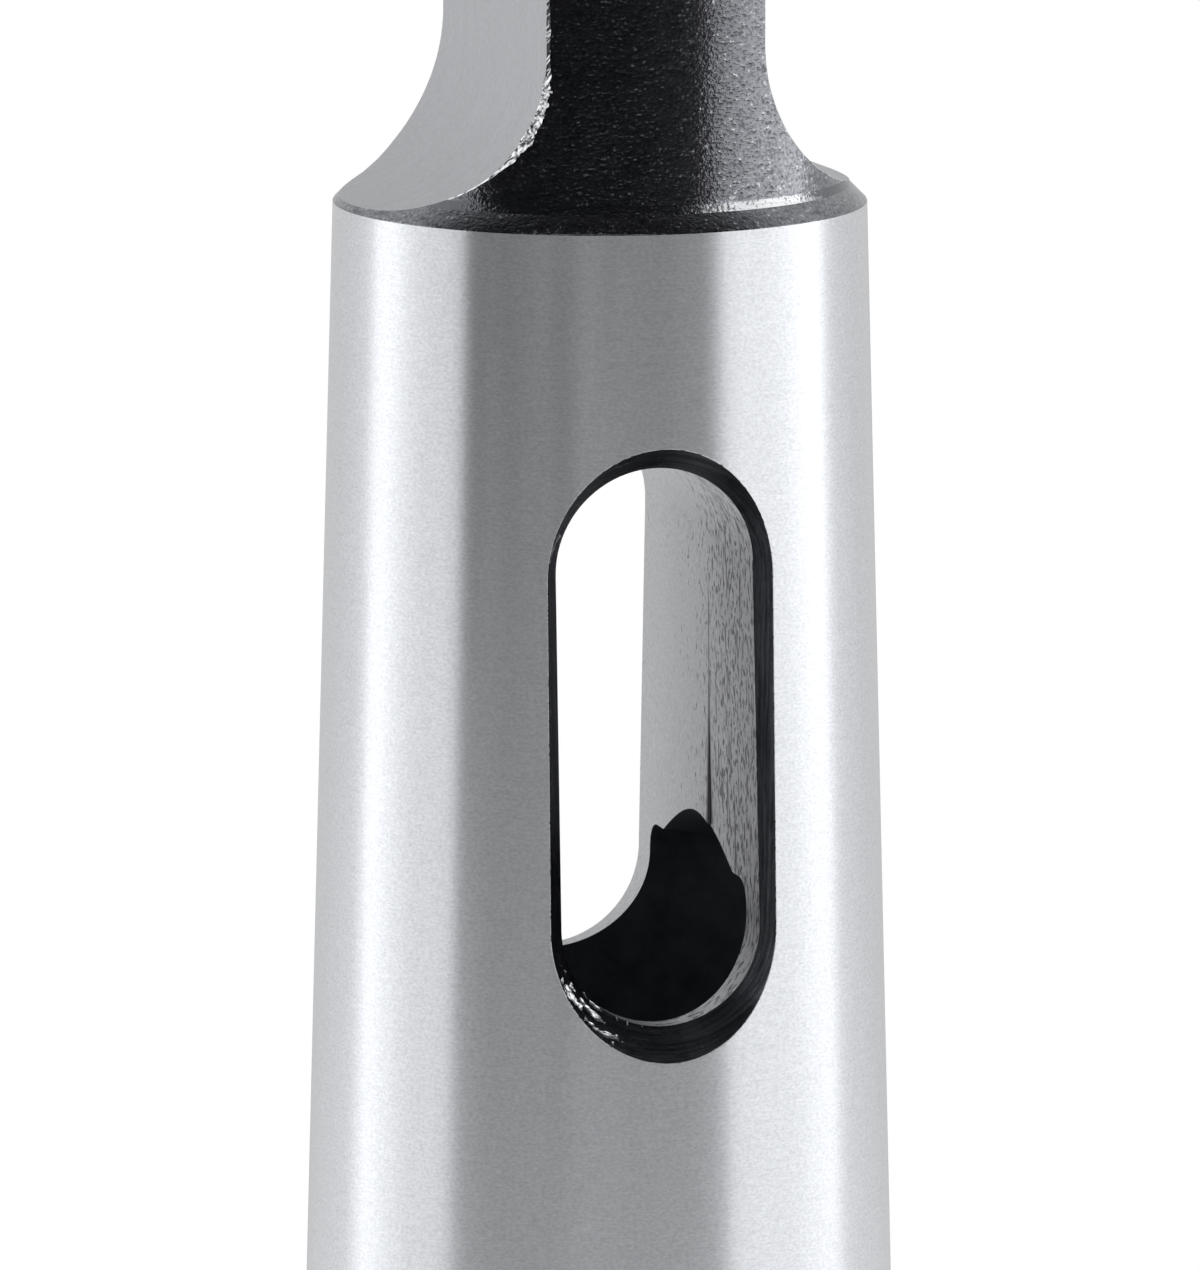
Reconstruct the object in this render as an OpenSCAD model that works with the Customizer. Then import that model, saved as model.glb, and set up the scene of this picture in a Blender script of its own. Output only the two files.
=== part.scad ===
// Morse taper sleeve, turned and ground from one bar.
// Outside: number 3 taper with a driving tang. Inside: number 2 taper socket.
// A drift slot crosses the bore, so that a wedge can push the inner tang out.
// It stands on its open end: z = 0 is the open end face, and the tang is at the top.
// The slot runs along Y, and the tang's two flats face -X and +X.

/* [Overall] */
// Length from the open end face to the tip of the tang
sleeve_len = 112; // [111.5:0.5:114]

/* [Outside taper] */
// Outside diameter at the gauge line
outer_gauge_d = 23.825; // [23.4:0.025:24.4]
// Length over which the outside diameter falls by one unit
outer_ratio = 19.922; // [18:0.001:24]
// Height of the gauge line above the open end face
gauge_h = 18; // [16:0.5:22]
// Length of ground taper that goes on below the gauge line
taper_overrun = 5; // [3:0.5:8]
// Distance from the tip of the tang down to the shoulder where the taper ends
shoulder_depth = 20; // [19:0.25:21]

/* [Collar at the open end] */
// Diameter of the plain collar, a little under the taper's large end
collar_d = 23.6; // [23:0.1:24]
// Chamfer on the outer edge of the open end
collar_chamfer = 0.8; // [0.3:0.1:1.2]

/* [Inside taper] */
// Inside diameter at the open end face
inner_gauge_d = 17.78; // [17.4:0.01:18]
// Length over which the inside diameter falls by one unit
inner_ratio = 20.02; // [18:0.001:24]
// Chamfer on the mouth of the socket
mouth_chamfer = 0.5; // [0.2:0.1:0.8]
// Depth at which the taper ends and the relief begins
relief_depth = 58; // [54:0.5:60]
// Diameter of the relief turned at the blind end of the bore
relief_d = 16.2; // [15:0.1:17]
// Depth of the flat end of the relief
bore_depth = 67; // [65:0.5:69]
// Corner radius that the boring tool leaves at the end of the relief
relief_corner_r = 0.9; // [0.3:0.1:1.4]
// Diameter of the pilot drill, whose point shows past the end of the relief
pilot_d = 12.7; // [11:0.1:13.5]
// Included angle of the pilot drill's point
pilot_angle = 118; // [100:1:140]

/* [Drift slot] */
// Width of the slot, the diameter of the end mill that cut it
slot_w = 7.6; // [6.4:0.1:8]
// Height of the slot's lower end above the open end face
slot_start = 62; // [60:0.5:64]
// Length of the slot from end to end
slot_len = 21.1; // [19:0.1:22]
// Depth that the edge chamfer reaches below the crest of the taper
slot_chamfer_depth = 1.7; // [1.2:0.1:2.2]
// Included angle of the cutter that chamfers the slot's edge
slot_chamfer_angle = 70; // [60:1:90]
// Distance by which that cutter stops short of the slot's upper end
slot_chamfer_stop = 0.4; // [0:0.1:0.8]

/* [Tang] */
// Thickness of the tang across its two milled flats
tang_t = 8.15; // [7.6:0.05:8.4]
// Diameter of the turned end that the flats are milled on
tang_d = 18.6; // [18:0.1:18.9]
// Height from the tip of the tang down to where the run-outs start
flat_len = 13.6; // [12.5:0.1:14]
// Radius of the cutter that leaves the run-outs
runout_r = 5.9; // [5.5:0.1:6.1]
// Radius on the outer edge of the tang's tip
tip_r = 2; // [0.5:0.1:2.5]
// Radius of the hollow fillet between the tang and the shoulder
base_fillet_r = 0.3; // [0.2:0.05:0.4]
// Height of the bevel on the shoulder
shoulder_bevel_h = 0.78; // [0.5:0.02:1]

/* [Centre hole] */
// Diameter of the countersink in the tip of the tang
centre_d = 4; // [3:0.1:5]
// Diameter of the small drill below the countersink
centre_pilot_d = 1.6; // [1:0.1:2]
// Depth of the whole centre hole
centre_depth = 4; // [3.5:0.1:5]
// Included angle of the countersink
centre_angle = 60; // [60:1:90]

/* [Resolution] */
// Segments in a full circle
facets = 144; // [48:12:288]

/* [Hidden] */
steel = [0.72, 0.73, 0.75];
// Distance that a cutter reaches past the metal it clears
over = 1;
$fn = facets;

// Fall of the radius for each millimetre of height
outer_slope = 0.5 / outer_ratio;
inner_slope = 0.5 / inner_ratio;

// Heights along the outside
taper_base_z = gauge_h - taper_overrun;
shoulder_z = sleeve_len - shoulder_depth;
ledge_z = shoulder_z + shoulder_bevel_h;
flat_base_z = sleeve_len - flat_len;

// Radii along the outside
function outer_r(z) = outer_gauge_d / 2 - (z - gauge_h) * outer_slope;
collar_r = collar_d / 2;
tang_r = tang_d / 2;
ledge_r = tang_r + base_fillet_r;
collar_step = outer_r(taper_base_z) - collar_r;

// Radii along the bore
function inner_r(z) = inner_gauge_d / 2 - z * inner_slope;
relief_r = relief_d / 2;
relief_step = relief_r - inner_r(relief_depth);
pilot_r = pilot_d / 2;
pilot_tip_h = pilot_r / tan(pilot_angle / 2);

// Heights of the centres of the slot's round ends
slot_r = slot_w / 2;
slot_low_z = slot_start + slot_r;
slot_high_z = slot_start + slot_len - slot_r;

// Bar after turning: collar, ground taper, bevelled shoulder and round tang
module turned_outside() {
    rotate_extrude()
        union() {
            difference() {
                polygon([
                    [0, 0],
                    [collar_r - collar_chamfer, 0],
                    [collar_r, collar_chamfer],
                    [collar_r, taper_base_z - collar_step],
                    [outer_r(taper_base_z), taper_base_z],
                    [outer_r(shoulder_z), shoulder_z],
                    [ledge_r, ledge_z],
                    [ledge_r, ledge_z + base_fillet_r],
                    [tang_r, ledge_z + base_fillet_r],
                    [tang_r, sleeve_len - tip_r],
                    [tang_r - tip_r, sleeve_len],
                    [0, sleeve_len],
                ]);
                translate([ledge_r, ledge_z + base_fillet_r])
                    circle(r = base_fillet_r);
            }
            translate([tang_r - tip_r, sleeve_len - tip_r])
                circle(r = tip_r);
        }
}

// Everything bored from the open end, drawn as one solid to cut away
module socket_cut() {
    mouth_r = inner_r(mouth_chamfer) + mouth_chamfer;
    rotate_extrude()
        union() {
            polygon([
                [0, -over],
                [mouth_r + over, -over],
                [inner_r(mouth_chamfer), mouth_chamfer],
                [inner_r(relief_depth), relief_depth - relief_step],
                [relief_r, relief_depth],
                [relief_r, bore_depth - relief_corner_r],
                [relief_r - relief_corner_r, bore_depth],
                [pilot_r, bore_depth],
                [0, bore_depth + pilot_tip_h],
            ]);
            translate([relief_r - relief_corner_r, bore_depth - relief_corner_r])
                circle(r = relief_corner_r);
        }
}

// Slot for the drift: two bores across the sleeve and the space between them
module slot_cut() {
    reach = outer_r(slot_start) + over;
    for (z = [slot_low_z, slot_high_z])
        translate([0, 0, z])
            rotate([90, 0, 0])
                cylinder(r = slot_r, h = 2 * reach, center = true);
    translate([-slot_r, -reach, slot_low_z])
        cube([slot_w, 2 * reach, slot_high_z - slot_low_z]);
}

// Path of the chamfering cutter on the -Y side. The sleeve is tilted for this cut,
// so that the crest of its taper lies level and the depth stays the same all along.
module slot_edge_cut() {
    spread = tan(slot_chamfer_angle / 2);
    deep = slot_chamfer_depth + over;
    deep_r = slot_r - over * spread;
    top_r = slot_r + (slot_chamfer_depth + over) * spread;
    path = slot_high_z - slot_chamfer_stop - slot_low_z;
    translate([0, -outer_r(slot_low_z), slot_low_z])
        rotate([-atan(outer_slope), 0, 0]) {
            for (z = [0, path])
                translate([0, deep, z])
                    rotate([90, 0, 0])
                        cylinder(r1 = deep_r, r2 = top_r, h = deep + over);
            linear_extrude(height = path)
                polygon([
                    [-deep_r, deep],
                    [deep_r, deep],
                    [top_r, -over],
                    [-top_r, -over],
                ]);
        }
}

// One side of the tang: the milled flat and its round run-out toward the shoulder
module flat_cut() {
    wide = 2 * (tang_r + over);
    translate([tang_t / 2, -wide / 2, flat_base_z])
        cube([tang_r, wide, flat_len + over]);
    translate([tang_t / 2 + runout_r, 0, flat_base_z])
        rotate([90, 0, 0])
            cylinder(r = runout_r, h = wide, center = true);
}

// Centre hole in the tip of the tang, left from turning and grinding
module centre_cut() {
    countersink_h = (centre_d - centre_pilot_d) / 2 / tan(centre_angle / 2);
    spread = tan(centre_angle / 2);
    translate([0, 0, sleeve_len - countersink_h])
        cylinder(
            r1 = centre_pilot_d / 2,
            r2 = centre_d / 2 + over * spread,
            h = countersink_h + over
        );
    translate([0, 0, sleeve_len - centre_depth])
        cylinder(d = centre_pilot_d, h = centre_depth);
}

module sleeve() {
    color(steel)
        difference() {
            turned_outside();
            socket_cut();
            slot_cut();
            slot_edge_cut();
            mirror([0, 1, 0])
                slot_edge_cut();
            flat_cut();
            mirror([1, 0, 0])
                flat_cut();
            centre_cut();
        }
}

sleeve();
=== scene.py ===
# %% [markdown]
# # Morse taper sleeve
# A Morse taper sleeve lets a drill with a small taper shank sit in a machine with a
# larger taper. It is one piece of hardened steel: a ground taper outside, a ground
# taper socket inside, a slot across it for the drift that pushes the drill out, and
# a flat tang on top that the machine's spindle drives.
# This lesson turns, mills, files and finishes that one piece, in the order in which
# a workshop would. Everything is in metres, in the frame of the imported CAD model.

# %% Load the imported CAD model
import math

import bmesh
import bpy
from mathutils import Matrix, Vector, noise


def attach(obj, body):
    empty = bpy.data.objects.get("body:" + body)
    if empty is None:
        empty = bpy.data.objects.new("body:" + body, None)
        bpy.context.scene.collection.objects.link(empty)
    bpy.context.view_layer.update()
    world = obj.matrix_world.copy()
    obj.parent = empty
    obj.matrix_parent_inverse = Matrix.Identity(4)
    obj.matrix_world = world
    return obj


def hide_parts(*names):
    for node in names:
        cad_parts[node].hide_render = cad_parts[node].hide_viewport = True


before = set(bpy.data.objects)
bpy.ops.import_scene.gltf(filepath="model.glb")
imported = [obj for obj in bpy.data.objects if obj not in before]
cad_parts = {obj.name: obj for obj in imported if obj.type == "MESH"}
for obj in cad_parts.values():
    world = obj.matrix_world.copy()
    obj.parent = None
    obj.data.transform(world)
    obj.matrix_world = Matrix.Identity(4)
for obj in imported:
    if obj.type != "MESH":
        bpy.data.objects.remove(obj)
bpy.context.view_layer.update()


# %% [markdown]
# ## The skins
# Each way of cutting steel leaves its own skin. A grinding wheel leaves bright satin,
# the heat treatment leaves a black skin on what was only turned, and a milling cutter
# leaves grey steel with drag marks. The faces are sorted by the tool that made them,
# so the list of skins comes first, and every mesh in this lesson carries the same
# list. A Boolean cut then hands the cutter's skin to the new faces by its number,
# which is simpler than painting the faces afterwards.

# %% List the skins
SKINS = [
    "ground_taper",
    "black_skin",
    "milled_flat",
    "slot_wall",
    "slot_chamfer",
    "bored_relief",
    "ground_socket",
    "faced_end",
    "bright_root",
    "torn_edge",
]
skin_number = {name: number for number, name in enumerate(SKINS)}
skin_material = {name: bpy.data.materials.new(name) for name in SKINS}


def skinned_object(name, bm):
    """Puts a bmesh into a new object that carries the list of skins."""
    mesh = bpy.data.meshes.new(name)
    bm.to_mesh(mesh)
    bm.free()
    for skin in SKINS:
        mesh.materials.append(skin_material[skin])
    made = bpy.data.objects.new(name, mesh)
    bpy.context.scene.collection.objects.link(made)
    return made


print("skins:", ", ".join(SKINS))

# %% [markdown]
# ## Sizes
# The sizes are those of the CAD model, in millimetres. The outside taper loses one
# millimetre of diameter in about twenty of height, and so does the socket.

# %% Name the sizes
MM = 0.001
MICROMETRE = 1e-6
LENGTH = 112.0
GAUGE_HEIGHT = 18.0
GAUGE_RADIUS = 11.9125
TAPER_BASE = 13.0
SHOULDER = 92.0
LEDGE = 92.64
ROOT = 92.97
COLLAR_RADIUS = 11.8
COLLAR_CHAMFER = 0.8
TANG_RADIUS = 9.3
LEDGE_RADIUS = 9.42
TIP_ROUNDING = 2.0
CENTRE_RADIUS = 2.0
CENTRE_DRILL_RADIUS = 0.8
CENTRE_DEPTH = 4.0
CENTRE_SLOPE = math.tan(math.radians(30))
MOUTH_RADIUS = 8.89
MOUTH_CHAMFER = 0.5
RELIEF_START = 58.0
RELIEF_RADIUS = 8.1
RELIEF_CORNER = 0.9
BORE_END = 67.0
PILOT_RADIUS = 6.35
PILOT_TIP = BORE_END + PILOT_RADIUS / math.tan(math.radians(59))
SLOT_RADIUS = 3.8
SLOT_LOW = 65.8
SLOT_HIGH = 79.3
# The left and the right flat: distance from the axis, and height where the run-out starts
FLATS = {-1: (4.075, 98.4), 1: (4.3, 98.8)}
RUNOUT_RADIUS = 6.2
OUTER_FALL = 0.5 / 19.922
INNER_FALL = 0.5 / 20.02
# How far a tool's path reaches past the metal that it clears
OVER = 1.0


def taper_radius(height):
    """Radius of the outside taper at a height."""
    return GAUGE_RADIUS - (height - GAUGE_HEIGHT) * OUTER_FALL


def socket_radius(height):
    """Radius of the taper socket at a height."""
    return MOUTH_RADIUS - height * INNER_FALL


print("taper radius at the shoulder:", round(taper_radius(SHOULDER), 3), "mm")

# %% [markdown]
# ## Turning
# On the real sleeve a lathe makes every round form. Here half of the section is
# drawn once, from the tip of the pilot drill's cone down the bore, round the open
# end and up the outside to the centre hole, and spun about the axis. That gives even
# faces and clean meridians, which a stack of cylinders and cones would not.
# Each corner has a small rounding, because no turned edge is perfectly sharp. A
# bevel on a corner of the open line makes it.

# %% Draw the half section
relief_step = RELIEF_RADIUS - socket_radius(RELIEF_START)
collar_step = taper_radius(TAPER_BASE) - COLLAR_RADIUS
SECTION = [
    # radius, height, rounding of the corner
    (0, PILOT_TIP, 0),
    (PILOT_RADIUS, BORE_END, 0.05),
    (RELIEF_RADIUS, BORE_END, RELIEF_CORNER),
    (RELIEF_RADIUS, RELIEF_START, 0.08),
    (socket_radius(RELIEF_START), RELIEF_START - relief_step, 0.08),
    (socket_radius(MOUTH_CHAMFER), MOUTH_CHAMFER, 0.08),
    (socket_radius(MOUTH_CHAMFER) + MOUTH_CHAMFER, 0, 0.06),
    (COLLAR_RADIUS - COLLAR_CHAMFER, 0, 0.1),
    (COLLAR_RADIUS, COLLAR_CHAMFER, 0.1),
    (COLLAR_RADIUS, TAPER_BASE - collar_step, 0.06),
    (taper_radius(TAPER_BASE), TAPER_BASE, 0.06),
    (taper_radius(SHOULDER), SHOULDER, 0.04),
    (LEDGE_RADIUS, LEDGE, 0),
    (TANG_RADIUS, ROOT, 0.03),
    (TANG_RADIUS, LENGTH, TIP_ROUNDING),
    (CENTRE_RADIUS, LENGTH, 0.06),
    (CENTRE_DRILL_RADIUS, LENGTH - (CENTRE_RADIUS - CENTRE_DRILL_RADIUS) / CENTRE_SLOPE, 0.04),
    (CENTRE_DRILL_RADIUS, LENGTH - CENTRE_DEPTH, 0),
    (0, LENGTH - CENTRE_DEPTH, 0),
]


def half_section():
    """The half section as an open line, with its corners rounded."""
    bm = bmesh.new()
    line = [bm.verts.new((r * MM, 0, z * MM)) for r, z, _ in SECTION]
    for below, above in zip(line, line[1:]):
        bm.edges.new((below, above))
    for r, z, rounding in SECTION:
        if not rounding:
            continue
        place = Vector((r * MM, 0, z * MM))
        corner = min(bm.verts, key=lambda v: (v.co - place).length)
        bmesh.ops.bevel(
            bm,
            geom=[corner],
            affect="VERTICES",
            offset=rounding * MM,
            segments=3 if rounding < 0.2 else 6 if rounding < 1 else 12,
            profile=0.5,
            material=-1,
        )
    return bm


turned = half_section()
print("half section:", len(turned.verts), "points")

# %% Spin it into the turned blank
MERIDIANS = 288


def skin_of_turned_face(face):
    """Which tool made this turned face, told by its height and radius."""
    place = face.calc_center_median() / MM
    radius, height = math.hypot(place.x, place.y), place.z
    if radius < CENTRE_RADIUS + OVER and height > LENGTH - CENTRE_DEPTH - OVER:
        return "black_skin"
    if LEDGE < height < ROOT and radius > TANG_RADIUS - 0.01:
        return "bright_root"
    if height < COLLAR_CHAMFER + 0.1 and radius > socket_radius(0) - 0.1:
        return "faced_end"
    inside = radius < taper_radius(height) - OVER and height < PILOT_TIP + 0.1
    if inside:
        return "ground_socket" if height < RELIEF_START - relief_step / 2 else "bored_relief"
    if TAPER_BASE - 0.02 < height < SHOULDER - 0.02:
        return "ground_taper"
    return "black_skin"


bmesh.ops.spin(
    turned,
    geom=turned.verts[:] + turned.edges[:],
    cent=(0, 0, 0),
    axis=(0, 0, 1),
    dvec=(0, 0, 0),
    angle=math.tau,
    steps=MERIDIANS,
    use_merge=True,
)
bmesh.ops.remove_doubles(turned, verts=turned.verts, dist=1e-7)
bmesh.ops.recalc_face_normals(turned, faces=turned.faces)
for face in turned.faces:
    face.material_index = skin_number[skin_of_turned_face(face)]
    face.smooth = True
print("turned blank:", len(turned.faces), "faces,", round(turned.calc_volume() / MM**3), "mm3")
sleeve = skinned_object("morse_taper_sleeve", turned)

# %% [markdown]
# ## Milling
# The drift slot is cut by an end mill that runs up and down across the sleeve, and a
# pointed cutter then breaks its edge. Two milled flats make the tang, and the round
# cutter leaves a hollow run-out at the foot of each. The same tools' paths are
# modelled here as solids and taken away with Booleans, as the metal was, so the curved
# edges where a slot meets a taper come out right without being worked out. The solver
# for closed solids is used, because it is quick and its results are closed again.
#
# The slot is milled from both sides. The sleeve is turned over between the two cuts
# and never sits quite true, so each cut leans a little as seen from its own side, and
# where they meet, a faint step runs down the wall.

# %% A slot-shaped loop, and a solid between two of them


def slot_loop(bm, radius, depth, low, high):
    """The outline of a slot, round at both ends, standing at one depth along Y."""
    steps = 96
    made = bmesh.ops.create_circle(bm, segments=steps, radius=radius * MM)["verts"]
    half_step = Matrix.Rotation(math.pi / steps, 3, "Z")
    stand_up = Matrix.Rotation(math.pi / 2, 3, "X")
    bmesh.ops.rotate(bm, verts=made, cent=(0, 0, 0), matrix=stand_up @ half_step)
    upper = [v for v in made if v.co.z > 0]
    bmesh.ops.translate(bm, verts=made, vec=(0, depth * MM, low * MM))
    bmesh.ops.translate(bm, verts=upper, vec=(0, 0, (high - low) * MM))
    return list(dict.fromkeys(edge for v in made for edge in v.link_edges))


def slot_solid(skin, loops):
    """A closed solid between two slot outlines, in one skin."""
    bm = bmesh.new()
    ends = [slot_loop(bm, *loop) for loop in loops]
    bmesh.ops.bridge_loops(bm, edges=ends[0] + ends[1])
    for end in ends:
        bmesh.ops.contextual_create(bm, geom=end)
    bmesh.ops.recalc_face_normals(bm, faces=bm.faces)
    for face in bm.faces:
        face.material_index = skin_number[skin]
    return bm


def worked_out(made):
    """A new mesh of an object, with its modifiers or its curve's thickness worked out."""
    bpy.context.view_layer.update()
    shaped = made.evaluated_get(bpy.context.evaluated_depsgraph_get())
    return bpy.data.meshes.new_from_object(shaped)


def apply_modifiers(body):
    """Gives the body the mesh that its modifiers make, and clears them."""
    old, body.data = body.data, worked_out(body)
    body.modifiers.clear()
    bpy.data.meshes.remove(old)


def take_away(body, cutter):
    """Cuts the body with the cutter, applies the cut and clears the cutter away."""
    cut = body.modifiers.new("cut", "BOOLEAN")
    cut.operation, cut.solver, cut.object = "DIFFERENCE", "MANIFOLD", cutter
    apply_modifiers(body)
    bpy.data.objects.remove(cutter)


# %% Cut the drift slot from both sides
SLOT_ASIDE = 0.06
SLOT_MIDDLE = (SLOT_LOW + SLOT_HIGH) / 2
CUTS_MEET = -1.65
CUTS_OVERLAP = 0.01
WALL_LEAN = 0.014
BACK_LIFT = 0.08


def as_clamped(bm, side, lean, lift=0.0):
    """Leans a cutter drawn for the -Y side and turns it to its own side, -1 or 1."""
    middle = (0, 0, SLOT_MIDDLE * MM)
    bmesh.ops.rotate(bm, verts=bm.verts, cent=middle, matrix=Matrix.Rotation(-lean, 3, "Y"))
    if side > 0:
        half_turn = Matrix.Rotation(math.pi, 3, "Z")
        bmesh.ops.rotate(bm, verts=bm.verts, cent=(0, 0, 0), matrix=half_turn)
    bmesh.ops.translate(bm, verts=bm.verts, vec=(SLOT_ASIDE * MM, 0, lift * MM))


reach = taper_radius(SLOT_LOW) + OVER
for side, depth, lift in ((-1, CUTS_MEET, 0), (1, CUTS_OVERLAP - CUTS_MEET, BACK_LIFT)):
    outlines = [(SLOT_RADIUS, y, SLOT_LOW, SLOT_HIGH) for y in (-reach, depth)]
    end_mill = slot_solid("slot_wall", outlines)
    as_clamped(end_mill, side, WALL_LEAN, lift)
    take_away(sleeve, skinned_object("end_mill", end_mill))
print("after the slot:", len(sleeve.data.polygons), "faces")

# %% [markdown]
# The edge of the slot is broken with a pointed cutter. The sleeve is tilted for this
# cut so that the crest of its taper lies level, and the cutter stops a little short
# of the upper end. That is why the dark band is narrow at the sides and the top, and
# wide at the bottom.

# %% Chamfer the slot on both sides
CHAMFER_DEPTH = 1.7
CHAMFER_SPREAD = math.tan(math.radians(35))
CHAMFER_START, CHAMFER_STOP = 0.06, 0.32
CHAMFER_LEAN = 0.006


def chamfer_cutter(side):
    """The pointed cutter's path on the side -1 or 1 of the Y axis."""
    deep = CHAMFER_DEPTH + OVER
    path = SLOT_HIGH - CHAMFER_STOP - SLOT_LOW
    bm = slot_solid(
        "slot_chamfer",
        [
            (SLOT_RADIUS - OVER * CHAMFER_SPREAD, deep, CHAMFER_START, path),
            (SLOT_RADIUS + deep * CHAMFER_SPREAD, -OVER, CHAMFER_START, path),
        ],
    )
    tilt = Matrix.Rotation(-math.atan(OUTER_FALL), 3, "X")
    bmesh.ops.rotate(bm, verts=bm.verts, cent=(0, 0, 0), matrix=tilt)
    crest = (0, -taper_radius(SLOT_LOW) * MM, SLOT_LOW * MM)
    bmesh.ops.translate(bm, verts=bm.verts, vec=crest)
    as_clamped(bm, side, CHAMFER_LEAN)
    return skinned_object("chamfer_cutter", bm)


for side in (-1, 1):
    take_away(sleeve, chamfer_cutter(side))
print("after the chamfers:", len(sleeve.data.polygons), "faces")

# %% Mill the two flats of the tang with their run-outs


def flat_cutter(side):
    """The path of the cutter that mills one flat: a straight wall on a round foot."""
    bm = bmesh.new()
    wide = 2 * (TANG_RADIUS + OVER)
    wall, start = FLATS[side]
    outer = wall + RUNOUT_RADIUS
    foot = bm.verts.new((outer * MM, -wide / 2 * MM, (start - RUNOUT_RADIUS) * MM))
    arc = bmesh.ops.spin(
        bm,
        geom=[foot],
        cent=(outer * MM, 0, start * MM),
        axis=(0, 1, 0),
        dvec=(0, 0, 0),
        angle=math.pi / 2,
        steps=48,
        use_merge=False,
    )
    wall_foot = next(v for v in arc["geom_last"] if isinstance(v, bmesh.types.BMVert))
    corners = [
        bm.verts.new((x * MM, -wide / 2 * MM, z * MM))
        for x, z in (
            (wall, LENGTH + OVER),
            (outer + OVER, LENGTH + OVER),
            (outer + OVER, start - RUNOUT_RADIUS),
        )
    ]
    for a, b in zip([wall_foot] + corners, corners + [foot]):
        bm.edges.new((a, b))
    outline = bmesh.ops.contextual_create(bm, geom=bm.edges[:])["faces"]
    pulled = bmesh.ops.extrude_face_region(bm, geom=outline)["geom"]
    far = [v for v in pulled if isinstance(v, bmesh.types.BMVert)]
    bmesh.ops.translate(bm, verts=far, vec=(0, wide * MM, 0))
    if side < 0:
        bmesh.ops.scale(bm, verts=bm.verts, vec=(-1, 1, 1))
    bmesh.ops.recalc_face_normals(bm, faces=bm.faces)
    for face in bm.faces:
        face.material_index = skin_number["milled_flat"]
    return skinned_object("flat_cutter", bm)


for side in (-1, 1):
    take_away(sleeve, flat_cutter(side))
print("after the flats:", len(sleeve.data.polygons), "faces")

# %% [markdown]
# ## Torn edges
# A cutter that leaves hard steel tears its edge a little, and one that enters it does
# not. So each flat has one clean long edge and one ragged, sparkling one, and the two
# ragged ones lie diagonally across the tang. The slot's edge has only fine nicks, and
# at one place the pointed cutter chattered and left bright scores in the chamfer.
# An uneven rod is laid just outside the edge, so that only its inner side bites, and
# is taken away, as a burr file would do it. So the tear is real geometry and shows on
# the outline too. The thicker the rod, the flatter is the facet that it leaves.

# %% Find the edge between two skins
FEWEST_POINTS = 20


def skin_borders(body, first, other, above=0.0):
    """The runs of edges between two skins: each point with its way out of the steel."""
    bm = bmesh.new()
    bm.from_mesh(body.data)
    pair = {skin_number[first], skin_number[other]}
    border = [
        edge
        for edge in bm.edges
        if {face.material_index for face in edge.link_faces} == pair
        and min(v.co.z for v in edge.verts) >= above * MM
    ]
    border.sort(key=lambda edge: sorted(v.index for v in edge.verts))
    left, runs = set(border), []
    for edge in border:
        if edge not in left:
            continue
        left.discard(edge)
        run = [edge.verts[0], edge.verts[1]]
        for at_end in (True, False):
            while True:
                tip = run[-1] if at_end else run[0]
                steps = [(e.other_vert(tip).index, e) for e in tip.link_edges if e in left]
                if not steps:
                    break
                step = min(steps)[1]
                left.discard(step)
                run.insert(len(run) if at_end else 0, step.other_vert(tip))
        closed = run[0] is run[-1]
        if len(run) > FEWEST_POINTS:
            run = from_one_start(run[:-1] if closed else run, closed)
            runs.append(([(v.co.copy(), way_out(v)) for v in run], closed))
    bm.free()
    return sorted(runs, key=lambda found: tuple(found[0][0][0]))


def from_one_start(run, closed):
    """The same run with one start and one sense, whichever edge it was found from."""

    def rank(v):
        return tuple(round(size, 7) for size in v.co.zxy)

    if closed:
        start = max(range(len(run)), key=lambda index: rank(run[index]))
        run = run[start:] + run[:start]
        return run if rank(run[1]) > rank(run[-1]) else run[:1] + run[:0:-1]
    return run if rank(run[0]) > rank(run[-1]) else run[::-1]


def way_out(vertex):
    """The direction out of the steel, halfway between the skins that meet here."""
    sides = {}
    for face in sorted(vertex.link_faces, key=lambda face: face.index):
        sides.setdefault(face.material_index, Vector())
        sides[face.material_index] += face.normal * face.calc_area()
    return sum((side.normalized() for side in sides.values()), Vector()).normalized()


def even_steps(run, closed, step):
    """The same run with its points at an even distance."""
    around = run + run[:1] if closed else run
    lengths = [(b[0] - a[0]).length for a, b in zip(around, around[1:])]
    count = max(4, round(sum(lengths) / step))
    made, walked, here = [], 0.0, 0
    for number in range(count if closed else count + 1):
        goal = sum(lengths) * number / count
        while here < len(lengths) - 1 and walked + lengths[here] < goal:
            walked += lengths[here]
            here += 1
        share = min(1, (goal - walked) / max(lengths[here], 1e-12))
        (place, out), (next_place, next_out) = around[here], around[here + 1]
        made.append((place.lerp(next_place, share), out.lerp(next_out, share).normalized()))
    return made


# %% An uneven rod along a run of points
SIDES_OF_ROD = 48


def uneven_rod(run, closed, bite, radius):
    """A rod of one radius laid beside a run, so close that it reaches in by the bite."""
    path = bpy.data.curves.new("rod", "CURVE")
    path.dimensions = "3D"
    path.bevel_depth, path.bevel_resolution = radius * MM, SIDES_OF_ROD // 2 - 2
    path.use_fill_caps = True
    line = path.splines.new("POLY")
    line.points.add(len(run) - 1)
    line.use_cyclic_u = closed
    for spot, (place, out) in zip(line.points, run):
        spot.co = (*(place + out * (radius - bite(place / MM)) * MM), 1)
    holder = bpy.data.objects.new("rod", path)
    bpy.context.scene.collection.objects.link(holder)
    mesh = worked_out(holder)
    bpy.data.objects.remove(holder)
    bpy.data.curves.remove(path)
    bm = bmesh.new()
    bm.from_mesh(mesh)
    bpy.data.meshes.remove(mesh)
    bmesh.ops.remove_doubles(bm, verts=bm.verts, dist=1e-8)
    bmesh.ops.recalc_face_normals(bm, faces=bm.faces)
    bm.normal_update()
    return bm


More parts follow.
